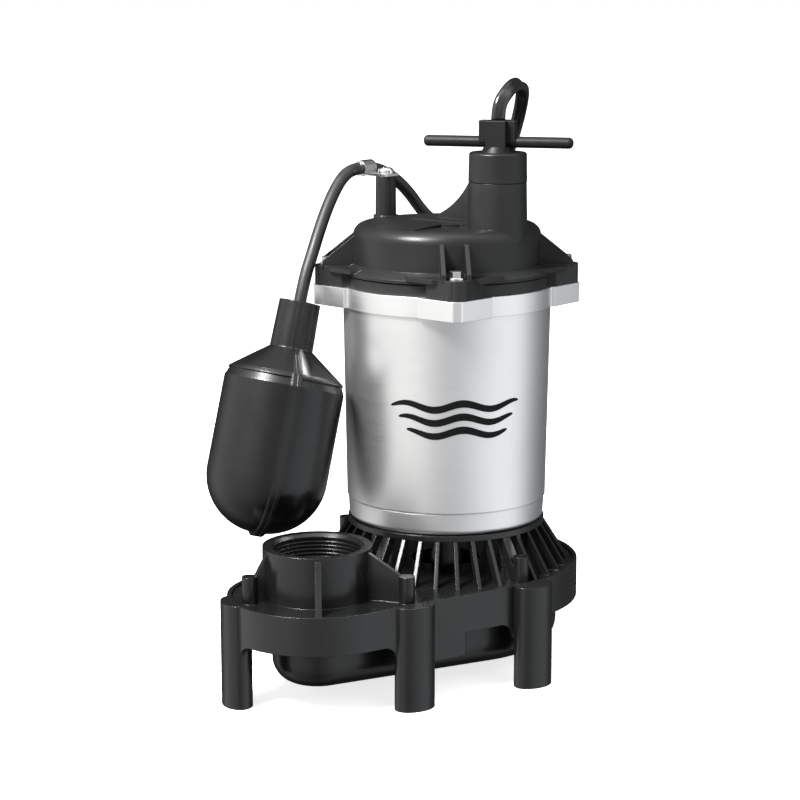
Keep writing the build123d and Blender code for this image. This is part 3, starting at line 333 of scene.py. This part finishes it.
def coil_points():
    """In at the floor, up the inner column, over and down the outer one, and out."""
    quarter = math.pi / 2
    floor = CORD_THICKNESS / 2 + FLOOR_GAP
    top = floor + INNER_TURNS * PITCH
    step = 2 * math.pi / POINTS_PER_TURN
    points = []
    angle = ENTRY_TURN + step
    climb_start = ENTRY_TURN + quarter
    climb_end = climb_start + INNER_TURNS * 2 * math.pi
    fall_start = climb_end + quarter
    fall_end = EXIT_TURN + 2 * math.pi * (INNER_TURNS + OUTER_TURNS)
    while angle < fall_end - step / 2:
        if angle < climb_start:
            share = (angle - ENTRY_TURN) / quarter
            points.append(around(angle, STUB_R + (INNER_R - STUB_R) * share, floor))
        elif angle < climb_end:
            points.append(around(angle, INNER_R,
                                 floor + PITCH * (angle - climb_start) / 2 / math.pi))
        elif angle < fall_start:
            share = (angle - climb_end) / quarter
            points.append(around(angle, INNER_R + (OUTER_R - INNER_R) * share, top))
        else:
            points.append(around(angle, OUTER_R,
                                 top - PITCH * (angle - fall_start) / 2 / math.pi))
        angle += step
    return points


TOWER_Y = -37.2
connector_top = at(0, TOWER_Y, 314.5)
entry_heading = Vector((-math.sin(ENTRY_TURN), math.cos(ENTRY_TURN), 0))
coil_start = around(ENTRY_TURN, STUB_R, ENTRY_Z) - entry_heading * STUB
plug_start = COIL_CENTRE + Vector((-STUB, STUB_R, PLUG_Z))
power_line = route_curve("power_line", [
    connector_top, at(0, TOWER_Y, 322.6), at(6.6, -38, 330), at(19, -32.6, 333.2),
    at(34, -24.8, 333), at(48, -16, 328.9), at(59, -6, 319), at(66.5, 4, 305),
    at(69.5, 13, 288), at(68.5, 20, 268), at(66.5, 24, 247), at(67, 25, 222),
    at(70, 24.5, 188), at(75, 22.5, 146), at(81, 19.5, 106), at(87, 15.5, 72),
    at(93, 12.2, 46), at(101.3, 12.5, 25.2), at(114.8, 16.4, 11.2),
    coil_start - entry_heading * ENTRY_LEAD, coil_start,
    coil_start + entry_heading * ENTRY_FOLLOW,
    *coil_points(), around(EXIT_TURN, OUTER_R, EXIT_Z), plug_start + EXIT_LEAD, plug_start])


def flat_twin(path):
    """A tube of two joined lobes: wide across the view, twisted at the loop, flat in the coil."""
    lobe = CORD_THICKNESS / 2
    shift = CORD_WIDTH / 2 - lobe
    outline = []
    for side in (1, -1):
        for index in range(LOBE_POINTS):
            turn = math.radians(-LOBE_SPREAD + 2 * LOBE_SPREAD * index / (LOBE_POINTS - 1))
            outline.append((side * (shift + lobe * math.cos(turn)), side * lobe * math.sin(turn)))
    bm = bmesh.new()
    rings = []
    travelled = 0.0
    settled = 0.0
    for index, point in enumerate(path):
        ahead = path[min(index + 1, len(path) - 1)]
        behind = path[max(index - 1, 0)]
        if index:
            travelled += (point - path[index - 1]).length
        tangent = (ahead - behind).normalized()
        settled = max(settled, min(1.0, (LIE_FLAT_BELOW - point.z) / LIE_FLAT_OVER))
        wide = RIGHT * (1 - settled) + tangent.cross(UP).normalized() * settled
        wide = (wide - tangent * wide.dot(tangent)).normalized()
        twist = LOOP_TWIST * math.exp(-((travelled - LOOP_TWIST_AT) / LOOP_TWIST_SPREAD) ** 2)
        wide = Matrix.Rotation(twist, 3, tangent) @ wide
        thick = tangent.cross(wide)
        rings.append([bm.verts.new(point + wide * x + thick * y) for x, y in outline])
    for a, b in zip(rings, rings[1:]):
        for index in range(len(outline)):
            after = (index + 1) % len(outline)
            bm.faces.new((a[index], a[after], b[after], b[index]))
    bm.faces.new(list(reversed(rings[0])))
    bm.faces.new(rings[-1])
    bmesh.ops.recalc_face_normals(bm, faces=bm.faces)
    return mesh_piece("power_cord_flat", bm, gloss_vinyl, "pump")


power_path = line_of(power_line)
bpy.data.objects.remove(power_line)
power_cord = flat_twin(power_path)
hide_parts("power_cord", "power_cord_coil")
power_length = sum((b - a).length for a, b in zip(power_path, power_path[1:]))
print("power cord length", round(power_length, 3))


# A plain wave mark printed on the shell, in place of the maker's

# The shell widens evenly between these two heights
SHELL_LOW, SHELL_HIGH = 0.0972, 0.2086
SHELL_LOW_R, SHELL_HIGH_R = 0.0578, 0.0597
INK_OFFSET = 0.00025
INK_THICKNESS = 0.00008
WAVES = 3
WAVE_STEPS = 72
WAVE_TOP = 0.1585
WAVE_SPACING = 0.0075
WAVE_HEIGHT = 0.0018
WAVE_LENGTH = 0.0052  # for one radian of the wave
WAVE_HALF_WIDTH = 0.0021
WAVE_TAPER = 0.35


def shell_point(across, z):
    """A point on the shell, so far along its face to the right of the line to the camera."""
    share = (z - SHELL_LOW) / (SHELL_HIGH - SHELL_LOW)
    radius = SHELL_LOW_R + (SHELL_HIGH_R - SHELL_LOW_R) * share
    turn = across / radius
    outward = RIGHT * math.sin(turn) - AWAY * math.cos(turn)
    return at(0, 0, 0) + outward.normalized() * (radius + INK_OFFSET) + UP * z


mark_mesh = bmesh.new()
for row in range(WAVES):
    lower, upper = [], []
    start, end = -0.034 + 0.005 * row, 0.043 - 0.004 * row
    for step in range(WAVE_STEPS + 1):
        across = start + (end - start) * step / WAVE_STEPS
        half = WAVE_HALF_WIDTH * math.sin(math.pi * step / WAVE_STEPS) ** WAVE_TAPER
        z = WAVE_TOP - WAVE_SPACING * row + WAVE_HEIGHT * math.sin(across / WAVE_LENGTH)
        lower.append(mark_mesh.verts.new(shell_point(across, z - half)))
        upper.append(mark_mesh.verts.new(shell_point(across, z + half)))
    for step in range(WAVE_STEPS):
        mark_mesh.faces.new((lower[step], lower[step + 1], upper[step + 1], upper[step]))
bmesh.ops.solidify(mark_mesh, geom=mark_mesh.faces[:], thickness=INK_THICKNESS)
mark_ink = moulded_plastic("mark_ink", 0.006, 0.45, grain=0.000004, rounding=0.0)
mark = mesh_piece("shell_mark", mark_mesh, mark_ink, "pump", smooth=False)

# Camera, light and floor -----------------------------------------------------------------

camera_data = bpy.data.cameras.new("camera")
camera_data.lens = LENS_MM
camera_data.sensor_width = 36
camera_data.clip_start = 0.05
camera_data.clip_end = 20
camera = bpy.data.objects.new("camera", camera_data)
camera.location = CAMERA
camera.rotation_mode = "QUATERNION"
camera.rotation_quaternion = CAMERA_FORWARD.to_track_quat("-Z", "Y")
bpy.context.scene.collection.objects.link(camera)
bpy.context.scene.camera = camera


def softbox(name, place, target, width, height, power):
    data = bpy.data.lights.new(name, "AREA")
    data.shape = "RECTANGLE"
    data.size = width
    data.size_y = height
    data.energy = power
    light = bpy.data.objects.new(name, data)
    light.location = place
    light.rotation_mode = "QUATERNION"
    light.rotation_quaternion = (target - place).to_track_quat("-Z", "Y")
    bpy.context.scene.collection.objects.link(light)


middle = at(-20, 0, 160)
softbox("key_left", middle - RIGHT * 0.72 - AWAY * 0.60 + UP * 1.04, middle,
        width=0.45, height=0.45, power=60)
softbox("top", middle + UP * 1.4 - AWAY * 0.2 - RIGHT * 0.2, middle,
        width=0.9, height=0.9, power=4)

# The studio around it: brightness by direction, in degrees to the right of the camera
STUDIO = (
    (-180, 0.03), (-162, 0.04), (-140, 0.08), (-124, 0.40), (-110, 1.00), (-92, 1.10),
    (-60, 0.92), (-34, 0.84), (-22, 0.72), (-12, 0.50), (2, 0.42), (14, 0.54), (28, 0.78),
    (44, 1.00), (64, 1.20), (84, 1.20), (96, 0.84), (108, 0.30), (128, 0.12), (156, 0.06),
    (180, 0.03),
)
world = bpy.data.worlds.new("studio")
world.use_nodes = True
studio = world.node_tree


def studio_node(kind, inputs=(), **settings):
    return add_node(studio, kind, inputs, **settings)


look = studio_node("ShaderNodeTexCoord").outputs["Generated"]


def share_along(direction):
    """How far the ray's direction goes along the given one, from -1 to 1."""
    return studio_node("ShaderNodeVectorMath", {0: look, 1: direction},
                       operation="DOT_PRODUCT").outputs["Value"]


turn = studio_node("ShaderNodeMath", {0: share_along(RIGHT), 1: share_along(-AWAY)},
                   operation="ARCTAN2").outputs[0]
place_in_ramp = studio_node("ShaderNodeMapRange", {"Value": turn, "From Min": -math.pi,
                                                   "From Max": math.pi}).outputs[0]
ramp = studio_node("ShaderNodeValToRGB", {"Fac": place_in_ramp})
stops = ramp.color_ramp.elements
while len(stops) < len(STUDIO):
    stops.new(0.5)
# Every place before any colour, since a moved stop may change the order of the stops
for stop, (degrees, _) in zip(stops, STUDIO):
    stop.position = (degrees + 180) / 360
for stop, (degrees, value) in zip(stops, STUDIO):
    cool = 1.03 if degrees > 0 else 0.99
    stop.color = (value * (2 - cool), value, value * cool, 1)
height = share_along(UP)
around_level = studio_node("ShaderNodeMapRange", {"Value": height, "From Min": -0.95,
                                                  "From Max": -0.35, "To Min": 0.25,
                                                  "To Max": 1.0}).outputs[0]
overhead = studio_node("ShaderNodeMapRange", {"Value": height, "From Min": 0.55, "From Max": 0.9,
                                              "To Min": 0.0, "To Max": 0.7}).outputs[0]
walls = studio_node("ShaderNodeBackground", {"Color": ramp.outputs[0], "Strength": around_level})
ceiling = studio_node("ShaderNodeBackground", {"Color": (1, 1, 1, 1), "Strength": overhead})
both = studio_node("ShaderNodeAddShader", {0: walls.outputs[0], 1: ceiling.outputs[0]})
paper = studio_node("ShaderNodeBackground", {"Color": (1, 1, 1, 1), "Strength": 1.0})
seen = studio_node("ShaderNodeLightPath").outputs["Is Camera Ray"]
choice = studio_node("ShaderNodeMixShader",
                     {0: seen, 1: both.outputs[0], 2: paper.outputs[0]})
studio.links.new(choice.outputs[0], studio.nodes["World Output"].inputs["Surface"])
bpy.context.scene.world = world

# The floor is paper of the background's white, kept out of reflections, light and shadow
FLOOR_RADIUS = 60
FLOOR_DROP = 0.0002
FLOOR_GLOW = 0.74
floor_mesh = bmesh.new()
bmesh.ops.create_circle(floor_mesh, cap_ends=True, segments=96, radius=FLOOR_RADIUS)
floor_data = bpy.data.meshes.new("floor")
floor_mesh.to_mesh(floor_data)
floor_mesh.free()
floor = bpy.data.objects.new("floor", floor_data)
floor.location.z = -FLOOR_DROP
floor_paper = Nodes("floor_paper")
floor_paper.set(Base_Color=(0.9, 0.9, 0.9, 1), Roughness=0.9, Emission_Color=(1, 1, 1, 1),
                Emission_Strength=FLOOR_GLOW)
floor_data.materials.append(floor_paper.material)
bpy.context.scene.collection.objects.link(floor)
floor.visible_glossy = False
floor.visible_diffuse = False
floor.visible_shadow = False

scene = bpy.context.scene
scene.view_settings.view_transform = "Standard"
scene.render.film_transparent = False
